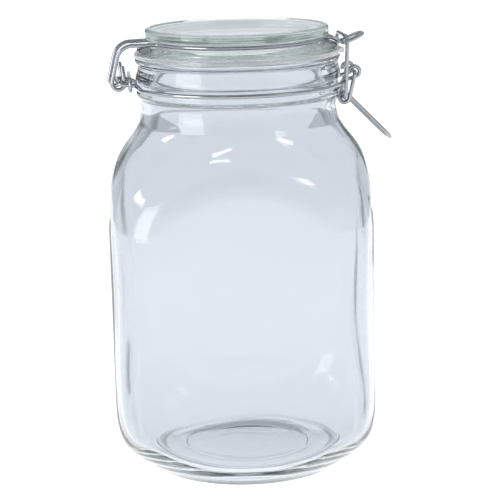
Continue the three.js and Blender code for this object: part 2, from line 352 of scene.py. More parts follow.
@dataclass(frozen=True)
class MouldedSilicone:
    """Translucent silicone rubber, moulded.

    It gives the eye a milky ring, a little dull, that lets most of the light through.

    Attributes:
        name: The material's name.
        colour: Colour of the rubber.
        roughness: Roughness of the moulded skin, which also blurs what lies behind it.
        ior: Refractive index of silicone.
        clearness: Share of the light that goes in and comes through.
        grain: Size of the skin's grain, in millimetres.
        grain_height: Height of that grain, in millimetres.
        grain_strength: Share of that height that counts.
    """

    name: str = "translucent_moulded_silicone"
    colour: str = "#F2F4F6"
    roughness: float = 0.22
    ior: float = 1.41
    clearness: float = 0.95
    grain: float = 0.9
    grain_height: float = 0.03
    grain_strength: float = 0.4

    def build(self) -> bpy.types.Material:
        """Makes the material.

        Returns:
            The finish, for a piece's material slot.
        """
        material = new_material(self.name)
        tree = material.node_tree
        rubber = add_node(
            tree,
            "ShaderNodeBsdfPrincipled",
            {"Normal": uneven_skin(tree, self.grain, self.grain_height, self.grain_strength)},
            Base_Color=linear(self.colour),
            Roughness=self.roughness,
            IOR=self.ior,
            Transmission_Weight=self.clearness,
        )
        add_node(tree, "ShaderNodeOutputMaterial", {"Surface": rubber.outputs["BSDF"]})
        return material


@dataclass(frozen=True)
class MattePaper:
    """Seamless white studio paper, matte, that gives off a painted glow of its own.

    It gives the eye an even white with no gloss and a grain too fine to notice.

    Attributes:
        name: The material's name.
        colour: Colour of the paper.
        glow: Painted glow that the paper gives off by itself, at its middle.
        edge_glow: What is left of that painted glow towards the paper's far end.
        middle: How far behind the jar the middle of the painted pool of light lies, in metres.
        pool: Where that painted light starts to fall off and where it ends, in metres.
        turn: Degrees that the painted pool's direction is turned from the frame's axes.
        roughness: Roughness of the uncoated paper.
        fibre: Width of a clump of fibres, in millimetres.
        fibre_height: Height of such a clump, in millimetres.
        fibre_strength: Share of that height that counts.
    """

    name: str = "matte_studio_paper"
    colour: str = "#F6F6F6"
    glow: float = 0.86
    edge_glow: float = 0.72
    middle: float = 0.36
    pool: Pair = (0.05, 0.7)
    turn: float = CAMERA_TURN
    roughness: float = 0.9
    fibre: float = 2.0
    fibre_height: float = 0.02
    fibre_strength: float = 0.02

    def build(self) -> bpy.types.Material:
        """Makes the material.

        Returns:
            The finish, for a piece's material slot.
        """
        material = new_material(self.name)
        tree = material.node_tree
        fibres = uneven_skin(tree, self.fibre, self.fibre_height, self.fibre_strength)
        place = add_node(tree, "ShaderNodeTexCoord").outputs["Object"]
        away = add_node(tree, "ShaderNodeVectorMath", {"Vector": place}, operation="DISTANCE")
        turn = math.radians(self.turn)
        ahead = (math.sin(turn) * self.middle, math.cos(turn) * self.middle, 0)
        away.inputs[1].default_value = ahead
        # Painted pool of light: the paper glows by itself, brighter behind the jar than far off.
        light = add_node(
            tree,
            "ShaderNodeMapRange",
            {"Value": away.outputs["Value"]},
            interpolation_type="SMOOTHSTEP",
            From_Min=self.pool[0],
            From_Max=self.pool[1],
            To_Min=self.glow,
            To_Max=self.edge_glow,
        )
        paper = add_node(
            tree,
            "ShaderNodeBsdfPrincipled",
            {"Normal": fibres, "Emission Strength": light.outputs["Result"]},
            Base_Color=linear(self.colour),
            Roughness=self.roughness,
            Emission_Color=linear("#FFFFFF"),
        )
        add_node(tree, "ShaderNodeOutputMaterial", {"Surface": paper.outputs["BSDF"]})
        return material


def new_piece(name: str, points: list[Vector], faces: list[tuple[int, ...]]) -> bpy.types.Object:
    """Puts a smooth closed mesh into the scene.

    Args:
        name: The piece's name.
        points: Its points, in the frame's metres.
        faces: Its faces, turned outwards.

    Returns:
        The piece.
    """
    mesh = bpy.data.meshes.new(name)
    mesh.from_pydata([tuple(point) for point in points], [], faces)
    mesh.shade_smooth()
    piece = bpy.data.objects.new(name, mesh)
    bpy.context.scene.collection.objects.link(piece)
    return piece


def place_piece(
    piece: bpy.types.Object, body: Body, slot: Slot, finish: bpy.types.Material, node: str
) -> None:
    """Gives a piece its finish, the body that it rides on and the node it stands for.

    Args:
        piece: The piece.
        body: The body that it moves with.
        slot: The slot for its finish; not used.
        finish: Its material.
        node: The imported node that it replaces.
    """
    piece.data.materials.append(finish)
    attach(piece, body.value)
    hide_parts(node)
    LOG.info("%s: %d faces on %s", piece.name, len(piece.data.polygons), body.value)


def let_light_by(piece: bpy.types.Object) -> None:
    """Lets a clear piece throw no shadow, as light goes through it in all directions."""
    piece.visible_shadow = False
    piece.visible_diffuse = False


def cubic(start: Pair, first: Pair, second: Pair, end: Pair, steps: int) -> list[Pair]:
    """Points along a cubic curve.

    Args:
        start: Where the curve starts.
        first: Its first handle.
        second: Its second handle.
        end: Where it ends.
        steps: Number of spans.

    Returns:
        The points, with both ends.
    """
    points = []
    for n in range(steps + 1):
        t = n / steps
        shares = ((1 - t) ** 3, 3 * t * (1 - t) ** 2, 3 * t * t * (1 - t), t**3)
        ends = (start, first, second, end)
        x = sum(share * pair[0] for share, pair in zip(shares, ends))
        y = sum(share * pair[1] for share, pair in zip(shares, ends))
        points.append((x, y))
    return points


def straight(start: Pair, end: Pair, steps: int) -> list[Pair]:
    """Points spread evenly along a straight line, without its two ends."""
    spans = [n / steps for n in range(1, steps)]
    return [tuple(Vector(start).lerp(Vector(end), share)) for share in spans]


def bend(
    corner: Vector, back: Vector, onward: Vector, radius: float, step: float
) -> list[Vector]:
    """Points along the arc that rounds a corner.

    Args:
        corner: The sharp corner.
        back: The corner before it.
        onward: The corner after it.
        radius: Radius of the arc.
        step: Most degrees between two points.

    Returns:
        The arc's points.
    """
    before = (back - corner).normalized()
    after = (onward - corner).normalized()
    half = before.angle(after) / 2
    centre = corner + (before + after).normalized() * (radius / math.sin(half))
    spoke = corner + before * (radius / math.tan(half)) - centre
    turn = math.pi - 2 * half
    count = max(1, math.ceil(math.degrees(turn) / step))
    angles = [turn * n / count for n in range(count + 1)]
    return [centre + spoke * math.cos(a) - before * (radius * math.sin(a)) for a in angles]


def rounded(corners: list[Triple], step: float = 15) -> list[Pair]:
    """An outline whose corners are rounded.

    Args:
        corners: Radius about the axis, height and radius of bend of each corner.
        step: Most degrees between two points of a bend.

    Returns:
        The outline's points; its first and last stay as they are.
    """
    outline: list[Pair] = [corners[0][:2]]
    spots = [Vector(corner[:2]) for corner in corners]
    for n in range(1, len(corners) - 1):
        radius = corners[n][2]
        if radius == 0:
            outline.append(corners[n][:2])
            continue
        curve = bend(spots[n], spots[n - 1], spots[n + 1], radius, step)
        outline += [tuple(point) for point in curve]
    outline.append(corners[-1][:2])
    return outline


def turned_piece(
    name: str, outline: list[Pair], sides: int, shaping: Shaping | None = None
) -> bpy.types.Object:
    """A solid turned about the jar's axis.

    Args:
        name: The piece's name.
        outline: Radius and height of each point, going round the section so that the
            solid lies on its left. It starts and ends on the axis, or closes on itself.
        sides: Number of points round the axis.
        shaping: What gives the radius and height to keep, from the turned radius, the
            height and the angle.

    Returns:
        The piece.
    """
    points: list[Vector] = []
    rings: list[list[int]] = []
    for radius, height in outline:
        first = len(points)
        if radius == 0:
            points.append(at(0, 0, height))
            rings.append([first] * sides)
            continue
        for n in range(sides):
            angle = 2 * math.pi * n / sides
            reach, level = shaping(radius, height, angle) if shaping else (radius, height)
            points.append(at(reach * math.cos(angle), reach * math.sin(angle), level))
        rings.append(list(range(first, first + sides)))
    pairs = list(zip(rings, rings[1:]))
    if outline[0][0] > 0:
        pairs.append((rings[-1], rings[0]))
    faces = []
    for low, high in pairs:
        for n in range(sides):
            after = (n + 1) % sides
            corners = (low[n], low[after], high[after], high[n])
            faces.append(tuple(dict.fromkeys(corners)))
    return new_piece(name, points, faces)


@dataclass(frozen=True)
class SquareBar:
    """An upright square bar with rounded corners, which cuts a turned surface.

    Attributes:
        half_width: Half its width across the flats.
        corner: Radius of its corners.
        blend: Reach of the soft edge where it meets the turned surface.
    """

    half_width: float
    corner: float
    blend: float

    def reach(self, angle: float) -> float:
        """How far the bar reaches from the axis in a direction.

        Args:
            angle: The direction, in radians from one of its flats.

        Returns:
            The distance to its side or to its rounded corner.
        """
        across = abs(math.cos(angle))
        along = abs(math.sin(angle))
        flat = self.half_width - self.corner
        straight_reach = self.half_width / max(across, along)
        if min(across, along) * straight_reach <= flat:
            return straight_reach
        middle = flat * (across + along)
        return middle + math.sqrt(middle**2 - 2 * flat**2 + self.corner**2)

    def cut(self, radius: float, angle: float) -> float:
        """Keeps a turned surface inside the bar.

        Args:
            radius: The turned surface's radius.
            angle: The direction, in radians from one of the bar's flats.

        Returns:
            The smaller of radius and reach, less a little where the two are near.
        """
        limit = self.reach(angle)
        gap = abs(radius - limit)
        least = min(radius, limit)
        if gap >= self.blend:
            return least
        return least - (self.blend - gap) ** 2 / (4 * self.blend)


@dataclass(frozen=True)
class CurveAim:
    """How far each end of the heel's and the shoulder's curves aims straight on.

    Attributes:
        heel_out: Outwards from the heel's foot.
        heel_down: Down from the heel's top.
        shoulder_in: Inwards from the shoulder's foot.
        shoulder_up: Up from the shoulder's foot.
        neck_down: Down from the neck.
    """

    heel_out: float
    heel_down: float
    shoulder_in: float
    shoulder_up: float
    neck_down: float


@dataclass(frozen=True)
class NeckRing:
    """One level ring of the neck's outside.

    Attributes:
        radius: Its radius.
        foot: Height of its foot.
        top: Height of its top.
        foot_bend: Radius that its foot is rounded to.
        top_bend: Radius that its top is rounded to.
    """

    radius: float
    foot: float
    top: float
    foot_bend: float
    top_bend: float

    def corners(self) -> list[Triple]:
        """Its two corners, as radius, height and radius of bend."""
        return [(self.radius, self.foot, self.foot_bend), (self.radius, self.top, self.top_bend)]


@dataclass
class GlassBody:
    """The square jar: a thin even base, flat faces, round shoulders and a plain neck."""

    turn: float = -CAMERA_TURN
    half_width: float = 69.8
    corner: float = 26.8
    blend: float = 9.0
    wall: float = 3.6
    widest: float = 88.2
    heel_top: float = 46.2
    shoulder_foot: float = 138.6
    shoulder_top: float = 195.6
    outer_aim: CurveAim = CurveAim(8.7, 20.8, 7.2, 25.4, 12.7)
    inner_aim: CurveAim = CurveAim(10.0, 18.2, 6.6, 22.4, 16.0)
    stand: float = 49.2
    stand_width: float = 1.6
    stand_bend: float = 0.8
    push_up: float = 2.0
    step: float = 34.7
    step_height: float = 0.35
    step_slant: float = 0.4
    step_bend: float = 0.15
    slope: Pair = (38.5, 46.0)
    slope_fall: Pair = (0.1, 0.2)
    slope_bend: Pair = (6.0, 4.0)
    ledge: Pair = (51.1, 53.8)
    ledge_height: float = 0.45
    ledge_rise: float = 0.15
    ledge_slant: float = 0.3
    ledge_bend: float = 0.1
    ledge_clear: float = 0.2
    floor_middle: float = 9.4
    floor_flat: float = 35.0
    floor_edge: float = 50.0
    floor_low: float = 7.2
    floor_aim: float = 5.0
    bore: float = 47.6
    bore_foot: float = 197.6
    bore_top: float = 200.0
    lip_bend: float = 0.9
    neck: NeckRing = NeckRing(52.7, 198.0, 203.2, 0, 1.5)
    bead: NeckRing = NeckRing(54.8, 205.2, 206.4, 1.0, 0.4)
    groove: NeckRing = NeckRing(54.1, 207.2, 211.8, 0.4, 0.5)
    band: NeckRing = NeckRing(55.1, 212.8, 215.3, 0.7, 2.5)
    waist: NeckRing = NeckRing(53.7, 220.7, 221.9, 1.5, 0.5)
    rim: NeckRing = NeckRing(55.2, 222.9, 224.7, 0.4, 0.8)
    heel_steps: int = 36
    wall_steps: int = 12
    shoulder_steps: int = 44
    floor_steps: int = 16
    middle_steps: int = 6
    sides: int = 416
    knurls: int = 104
    knurl_depth: float = 0.4
    wander: float = 0.4
    wander_foot: float = 16.0
    wander_fades: Pair = (30.0, 20.0)

    def base(self) -> list[Pair]:
        """The underside, from its middle out over the standing ring to the knurled ledge.

        Returns:
            Radius and height of its points.
        """
        inner = self.stand - self.stand_width
        below = self.push_up - self.step_height
        slope_in, slope_out = self.slope
        ledge_in, ledge_out = self.ledge
        ledge_low = self.ledge_height
        ledge_high = ledge_low + self.ledge_rise
        # Each row is a corner's radius, its height and the radius that it is rounded to.
        return rounded(
            [
                (0, self.push_up, 0),
                (self.step, self.push_up, self.step_bend),
                (self.step + self.step_slant, below, self.step_bend),
                (slope_in, below - self.slope_fall[0], self.slope_bend[0]),
                (slope_out, self.slope_fall[1], self.slope_bend[1]),
                (inner, 0, self.stand_bend),
                (ledge_in, 0, self.ledge_bend),
                (ledge_in + self.ledge_slant, ledge_low, self.ledge_bend),
                (ledge_out - self.ledge_slant, ledge_high, self.ledge_bend),
                (ledge_out, ledge_low, 0),
            ]
        )

    def sides_up(self, foot: Pair, widest: float, top: Pair, aim: CurveAim) -> list[Pair]:
        """The heel, the upright stretch and the shoulder, from the foot to the neck.

        Args:
            foot: Where the heel starts.
            widest: Radius of the upright stretch.
            top: Where the shoulder ends.
            aim: How the curves' ends aim.

        Returns:
            The points, with both ends.
        """
        heel = cubic(
            foot,
            (foot[0] + aim.heel_out, foot[1]),
            (widest, self.heel_top - aim.heel_down),
            (widest, self.heel_top),
            self.heel_steps,
        )
        shoulder = cubic(
            (widest, self.shoulder_foot),
            (widest - aim.shoulder_in, self.shoulder_foot + aim.shoulder_up),
            (top[0], top[1] - aim.neck_down),
            top,
            self.shoulder_steps,
        )
        return heel + straight(heel[-1], shoulder[0], self.wall_steps) + shoulder

    def mouth(self) -> list[Pair]:
        """The neck: a bead, the wire's groove, a band, a waist and the lip.

        Returns:
            Radius and height of its points, ending inside the bore.
        """
        corners: list[Triple] = []
        for ring in (self.neck, self.bead, self.groove, self.band, self.waist, self.rim):
            corners += ring.corners()
        corners += [(self.bore, self.rim.top, self.lip_bend), (self.bore, self.bore_top, 0)]
        return rounded(corners)

    def hollow(self) -> list[Pair]:
        """The inside, from the shoulder down to the middle of the floor.

        Returns:
            Radius and height of its points, without the one on the axis.
        """
        foot = (self.floor_edge, self.floor_low)
        top = (self.bore, self.bore_foot)
        walls = self.sides_up(foot, self.widest - self.wall, top, self.inner_aim)
        floor = cubic(
            foot,
            (self.floor_edge - self.floor_aim, self.floor_low),
            (self.floor_flat + self.floor_aim, self.floor_middle),
            (self.floor_flat, self.floor_middle),
            self.floor_steps,
        )
        middle = straight(floor[-1], (0, self.floor_middle), self.middle_steps)
        return walls[::-1] + floor[1:] + middle

    def drift(self, height: float, angle: float) -> float:
        """How far the inside strays from true at a place, as pressed glass does.

        Args:
            height: The place's height.
            angle: Its angle about the axis, in radians.

        Returns:
            The distance outwards. It fades out towards the neck and the floor.
        """
        top_fade, foot_fade = self.wander_fades
        # Two waves of different lengths in millimetres, so that no two parts are alike.
        swell = math.sin(3 * angle + height / 23) * math.sin(height / 31 + 1.3)
        swell += 0.6 * math.sin(5 * angle - height / 17 + 0.7)
        fade = min(1, max(0, (self.shoulder_top - height) / top_fade))
        fade *= min(1, max(0, (height - self.wander_foot) / foot_fade))
        return self.wander * swell * fade

    def build(self, finish: bpy.types.Material) -> None:
        """Makes the jar.

        Args:
            finish: The glass.
        """
        foot = (self.stand, 0.0)
        top = (self.neck.radius, self.shoulder_top)
        ledge_in, ledge_out = self.ledge
        ledge_high = self.ledge_height + self.ledge_rise
        outside = self.sides_up(foot, self.widest, top, self.outer_aim)
        outside = [point for point in outside if point[0] > ledge_out + self.ledge_clear]
        hollow = self.hollow()
        inside = set(hollow)
        outer_bar = SquareBar(self.half_width, self.corner, self.blend)
        inner_bar = SquareBar(self.half_width - self.wall, self.corner - self.wall, self.blend)
        turn = math.radians(self.turn)

        def shape(radius: float, height: float, angle: float) -> Pair:
            """Squares the walls, knurls the ledge and lets the inside wander.

            Args:
                radius: The turned radius.
                height: The point's height.
                angle: Its angle about the axis, in radians.

            Returns:
                The radius and the height to keep.
            """
            faced = angle - turn
            if (radius, height) in inside:
                return inner_bar.cut(radius, faced) + self.drift(height, angle), height
            if ledge_in < radius < ledge_out and 0 < height < ledge_high:
                ridge = 0.5 - 0.5 * math.cos(self.knurls * angle)
                return radius, height + self.knurl_depth * ridge
            return outer_bar.cut(radius, faced), height

        outline = self.base() + outside + self.mouth() + hollow + [(0, self.floor_middle)]
        piece = turned_piece("jar_glass", outline, self.sides, shape)
        place_piece(piece, Body.JAR, Slot.JAR_GLASS, finish, "glass_jar")
        let_light_by(piece)


@dataclass
class GlassLid:
    """The pressed lid: a disc, a groove for its wire, a flange over the seal and a plug."""

    top: float = 240.5
    disc: float = 49.3
    disc_foot: float = 235.0
    groove: float = 44.2
    flange_top: float = 231.5
    flange: float = 54.0
    flange_foot: float = 227.9
    flange_slope: Pair = (5.0, 1.7)
    plug: float = 45.6
    plug_foot: float = 222.9
    hollow: Pair = (35.0, 39.5)
    hollow_top: float = 233.5
    dish: Pair = (46.9, 45.8)
    dish_depth: float = 0.8
    sides: int = 288

    def outline(self) -> list[Pair]:
        """The lid's section, from the middle of its hollow out, up and back to the axis.

        Returns:
            Radius and height of its points.
        """
        across, down = self.flange_slope
        dish_floor = self.top - self.dish_depth
        # Each row is a corner's radius, its height and the radius that it is rounded to.
        return rounded(
            [
                (0, self.hollow_top, 0),
                (self.hollow[0], self.hollow_top, 3),
                (self.hollow[1], self.plug_foot, 0.8),
                (self.plug, self.plug_foot, 0.8),
                (self.plug, self.flange_foot, 0.4),
                (self.flange, self.flange_foot, 0.6),
                (self.flange, self.flange_top - down, 1.2),
                (self.flange - across, self.flange_top, 2.0),
                (self.groove, self.flange_top, 0.6),
                (self.groove, self.disc_foot, 0.6),
                (self.disc, self.disc_foot, 0.9),
                (self.disc, self.top, 1.5),
                (self.dish[0], self.top, 0.7),
                (self.dish[1], dish_floor, 0.7),
                (0, dish_floor, 0),
            ]
        )

    def build(self, finish: bpy.types.Material) -> None:
        """Makes the lid's glass.

        Args:
            finish: The glass.
        """
        piece = turned_piece("lid_glass", self.outline(), self.sides)
        place_piece(piece, Body.LID, Slot.LID_GLASS, finish, "glass_lid")
        let_light_by(piece)


@dataclass
class RubberSeal:
    """The flat ring between the rim and the flange, with its pull tab."""

    outer: float = 55.5
    inner: float = 46.4
    foot: float = 225.0
    top: float = 227.6
    tab_reach: float = 56.7
    tab_middle: float = -5.0
    tab_width: float = 9.0
    tab_root: float = 1.5
    tab_blend: float = 0.6
    bends: Pair = (0.7, 0.5)
    seam: float = 1.0
    sides: int = 360

    def shape(self, radius: float, height: float, angle: float) -> Pair:
        """Draws the ring's edge out into the tab.

        Args:
            radius: The turned radius.
            height: The point's height.
            angle: Its angle about the axis, in radians.

        Returns:
            The radius and the height to keep.
        """
        across = abs(radius * math.sin(angle) - self.tab_middle)
        if radius < self.outer - self.tab_root or math.cos(angle) < 0:
            return radius, height
        share = min(1, max(0, self.tab_width / 2 + self.tab_blend - across))
        share = share * share * (3 - 2 * share)
        edge = self.tab_reach / math.cos(angle) - (self.outer - radius)
        return radius + (edge - radius) * share, height

    def build(self, finish: bpy.types.Material) -> None:
        """Makes the seal.

        Args:
            finish: The rubber.
        """
        middle = (self.outer + self.inner) / 2
        outer_bend, inner_bend = self.bends
        outline = rounded(
            [
                (middle, self.foot, 0),
                (self.outer, self.foot, outer_bend),
                (self.outer, self.top, outer_bend),
                (self.inner, self.top, inner_bend),
                (self.inner, self.foot, inner_bend),
                (middle - self.seam, self.foot, 0),
            ]
        )
        piece = turned_piece("seal", outline, self.sides, self.shape)
        place_piece(piece, Body.LID, Slot.SEAL, finish, "seal_ring")
        let_light_by(piece)


@dataclass(frozen=True)
class Corner:
    """A corner of a wire's route, with the radius that the wire is bent to there."""

    spot: Vector
    radius: float = 0.0

    @classmethod
    def of(cls, x: float, y: float, z: float, radius: float = 0.0) -> "Corner":
        """A corner from its three measures and its radius."""
        return cls(Vector((x, y, z)), radius)

    def bent(self, radius: float) -> "Corner":
        """The same corner, bent to another radius."""
        return Corner(self.spot, radius)


class Tube:
    """A round wire along a route, in millimetres about the jar's axis."""

    GRAIN = "drawing_lines"
    GRAIN_STRETCH = 40.0
    RADIUS = 1.1
    SIDES = 20
    CHAMFER = 0.3
    TURN_STEP = 8.0
    RING_STEP = 2.0

    def __init__(self, corners: list[Corner]) -> None:
        """Works out the route through corners, and its mirror image back again.

        Args:
            corners: The corners of one half, or of the whole wire.
        """
        self.route = [corners[0].spot]
        for n in range(1, len(corners) - 1):
            corner = corners[n]
            if corner.radius == 0:
                self.route.append(corner.spot)
                continue
            back = corners[n - 1].spot
            onward = corners[n + 1].spot
            self.route += bend(corner.spot, back, onward, corner.radius, self.TURN_STEP)
        self.route.append(corners[-1].spot)

    @classmethod
    def both_sides(cls, corners: list[Corner]) -> "Tube":
        """A wire whose second half mirrors its first across the plane of X and Z."""
        mirrored = [Corner.of(c.spot.x, -c.spot.y, c.spot.z, c.radius) for c in reversed(corners)]
        return cls(corners + mirrored)

    def build(self, name: str) -> bpy.types.Object:
        """Makes the wire, with its two ends cut and chamfered.

        Args:
            name: The piece's name.

        Returns:
            The wire, with the place along and round it kept for the drawing lines.
        """
        ways = [(b - a).normalized() for a, b in zip(self.route, self.route[1:])]
        tangents = [ways[0]]
        tangents += [(a + b).normalized() for a, b in zip(ways, ways[1:])]
        tangents.append(ways[-1])
        start = tangents[0]
        end = tangents[-1]
        stations = [(self.route[0], start, self.RADIUS - self.CHAMFER)]
        stations.append((self.route[0] + start * self.CHAMFER, start, self.RADIUS))
        stations += [(p, t, self.RADIUS) for p, t in zip(self.route[1:-1], tangents[1:-1])]
        stations.append((self.route[-1] - end * self.CHAMFER, end, self.RADIUS))
        stations.append((self.route[-1], end, self.RADIUS - self.CHAMFER))
        side = start.orthogonal().normalized()
        points: list[Vector] = []
        grain: list[float] = []
        travelled = 0.0
        for n, (spot, tangent, radius) in enumerate(stations):
            side = (side - tangent * side.dot(tangent)).normalized()
            other = tangent.cross(side)
            travelled += (spot - stations[max(0, n - 1)][0]).length
            for k in range(self.SIDES):
                angle = 2 * math.pi * k / self.SIDES
                offset = side * math.cos(angle) + other * math.sin(angle)
                points.append(at(*(spot + offset * radius)))
                grain += [math.cos(angle), math.sin(angle), travelled / self.GRAIN_STRETCH]
        faces: list[tuple[int, ...]] = [tuple(reversed(range(self.SIDES)))]
        for n in range(len(stations) - 1):
            first = n * self.SIDES
            for k in range(self.SIDES):
                after = (k + 1) % self.SIDES
                near = (first + k, first + after)
                faces.append((*near, near[1] + self.SIDES, near[0] + self.SIDES))
        last = (len(stations) - 1) * self.SIDES
        faces.append(tuple(range(last, last + self.SIDES)))
        piece = new_piece(name, points, faces)
        store = piece.data.attributes.new(self.GRAIN, "FLOAT_VECTOR", "POINT")
        store.data.foreach_set("vector", grain)
        return piece


def arc(start: float, end: float, step: float, place: Callable[[float], Vector]) -> list[Corner]:
    """Corners along an arc.

    Args:
        start: First angle, in degrees.
        end: Last angle, in degrees.
        step: Most degrees between two corners.
        place: What gives the point at an angle in radians.

    Returns:
        The corners, with both ends.
    """
    count = max(1, math.ceil(abs(end - start) / step))
    angles = [math.radians(start + (end - start) * n / count) for n in range(count + 1)]
    return [Corner(place(angle)) for angle in angles]


@dataclass(frozen=True)
class WireRing:
    """A level ring of wire about the jar's axis."""

    radius: float
    height: float

    def angle(self, distance: float) -> float:
        """The angle, in degrees, at which the ring is a distance from the XZ plane."""
        return math.degrees(math.asin(distance / self.radius))

    def corners(self, start: float, end: float) -> list[Corner]:
        """Corners along the ring.

        Args:
            start: First angle, in degrees.
            end: Last angle, in degrees.

        Returns:
            The corners, with both ends.
        """

        def place(angle: float) -> Vector:
            """The ring's point at an angle."""
            x = self.radius * math.cos(angle)
            return Vector((x, self.radius * math.sin(angle), self.height))

        return arc(start, end, Tube.RING_STEP, place)


def side_arc(middle: Pair, radius: float, y: float, start: float, end: float) -> list[Corner]:
    """Corners along an upright arc in a plane of X and Z.

    Args:
        middle: The arc's centre, as x and z.
        radius: Its radius.
        y: Where the plane lies.
        start: First angle, in degrees.
        end: Last angle, in degrees.

    Returns:
        The corners, with both ends.
    """

    def place(angle: float) -> Vector:
        """The arc's point at an angle."""
        x = middle[0] + radius * math.cos(angle)
        return Vector((x, y, middle[1] + radius * math.sin(angle)))

    return arc(start, end, Tube.TURN_STEP, place)


def tangent_angle(centre: Pair, radius: float, far: Pair, side: int) -> float:
    """The angle, in degrees, at which a straight run from a far point meets a turn of wire.

    Args:
        centre: The turn's centre, as x and z.
        radius: Its radius.
        far: The far point, as x and z.
        side: 1 or -1, the side of the turn that it meets.

    Returns:
        The angle about the centre.
    """
    across = far[0] - centre[0]
    up = far[1] - centre[1]
    opening = math.acos(radius / math.hypot(across, up))
    return math.degrees(math.atan2(up, across) + side * opening)


@dataclass
class NeckFitting:
    """The wire round the neck, with the clasp's eyes and the hinge bar, and its tie."""

    ring: WireRing = WireRing(56.2, 209.6)
    pivot: Pair = PIVOT
    eye_spread: float = 9.4
    eye_radius: float = 2.9
    eye_start: float = 195.0
    hinge: Pair = HINGE
    hinge_spread: float = 13.8
    hinge_neck: Pair = (-56.3, 212.2)
    hinge_ring_y: float = 17.0
    tie_x: float = -58.6
    tie_half_width: float = 16.6
    tie_half_height: float = 3.0
    tie_slant: float = 0.05
    tie_gap: float = 1.0
    tie_bend: float = 2.6
    ring_bends: Pair = (2.2, 4.0)
    hinge_bends: Pair = (3.0, 2.0)

    def neck_wire(self) -> Tube:
        """The route of the neck's wire: eye, half the ring, hinge bar, and back.

        Returns:
            The wire, ready to be made.
        """
        corners = side_arc(self.pivot, self.eye_radius, -self.eye_spread, self.eye_start, -90)
        leave = -self.ring.angle(self.eye_spread)
        arrive = -180 + self.ring.angle(self.hinge_ring_y)
        half = self.ring.corners(leave, arrive)
        first_bend, last_bend = self.ring_bends
        # The ring's corners next to its ends are left out, where the wire bends away from it.
        corners += [half[0].bent(first_bend), *half[3:-4], half[-1].bent(last_bend)]
        y = -self.hinge_spread
        for (x, z), radius in zip((self.hinge_neck, self.hinge), self.hinge_bends):
            corners.append(Corner.of(x, y, z, radius))
        return Tube.both_sides(corners)

    def tie(self) -> Tube:
        """The route of the short wire wrapped round both strands of the hinge bar.

        Returns:
            The wire, ready to be made.
        """
        middle = (self.hinge_neck[1] + self.hinge[1]) / 2
        gap = self.tie_gap
        wide = self.tie_half_width
        high = self.tie_half_height
        spots = [(-gap, -high), (-wide, -high), (-wide, high)]
        spots += [(wide, high), (wide, -high), (gap, -high)]
        corners = []
        for y, z in spots:
            x = self.tie_x + self.tie_slant * y
            corners.append(Corner.of(x, y, middle + z, self.tie_bend))
        return Tube(corners)

    def build(self, finish: bpy.types.Material) -> None:
        """Makes both wires.

        Args:
            finish: The wire's metal.
        """
        wire = self.neck_wire().build("neck_wire_round")
        place_piece(wire, Body.JAR, Slot.WIRE, finish, "neck_wire")
        tie = self.tie().build("hinge_tie_round")
        place_piece(tie, Body.JAR, Slot.WIRE, finish, "hinge_tie")


@dataclass
class LidWire:
    """The wire in the lid's groove, with the hinge's arms and hooks and the tongue."""

    ring: WireRing = WireRing(45.7, 233.2)
    hinge: Pair = HINGE
    hook_radius: float = 3.4
    hook_end: Pair = (-62.9, 222.5)
    arm_spread: float = 10.0
    arm_ring_y: float = 13.7
    arm_top: Pair = (-63.9, 233.0)
    arm_bend: float = 9.0
    ring_bends: Pair = (4.0, 2.0)
    tongue_spread: float = 6.0
    knee: Pair = (50.5, 232.9)
    crook: Pair = (57.8, 229.45)
    tip: Pair = (68.2, 234.0)
    tongue_bends: Triple = (4.0, 3.0, 4.5)

    def build(self, finish: bpy.types.Material) -> None:
        """Makes the wire.

        Args:
            finish: The wire's metal.
        """
        start = tangent_angle(self.hinge, self.hook_radius, self.hook_end, -1)
        foot = tangent_angle(self.hinge, self.hook_radius, self.arm_top, 1) - 360
        y = -self.arm_spread
        corners = [Corner.of(self.hook_end[0], y, self.hook_end[1])]
        corners += side_arc(self.hinge, self.hook_radius, y, start, foot)
        corners.append(Corner.of(self.arm_top[0], y, self.arm_top[1], self.arm_bend))
        arrive = -180 + self.ring.angle(self.arm_ring_y)
        leave = -self.ring.angle(self.tongue_spread)
        half = self.ring.corners(arrive, leave)
        first_bend, last_bend = self.ring_bends
        # The ring's corners next to its ends are left out, where the wire bends away from it.
        corners += [half[0].bent(first_bend), *half[4:-3], half[-1].bent(last_bend)]
        for (x, z), radius in zip((self.knee, self.crook, self.tip), self.tongue_bends):
            corners.append(Corner.of(x, -self.tongue_spread, z, radius))
        wire = Tube.both_sides(corners).build("lid_wire_round")
        place_piece(wire, Body.LID, Slot.WIRE, finish, "lid_wire")


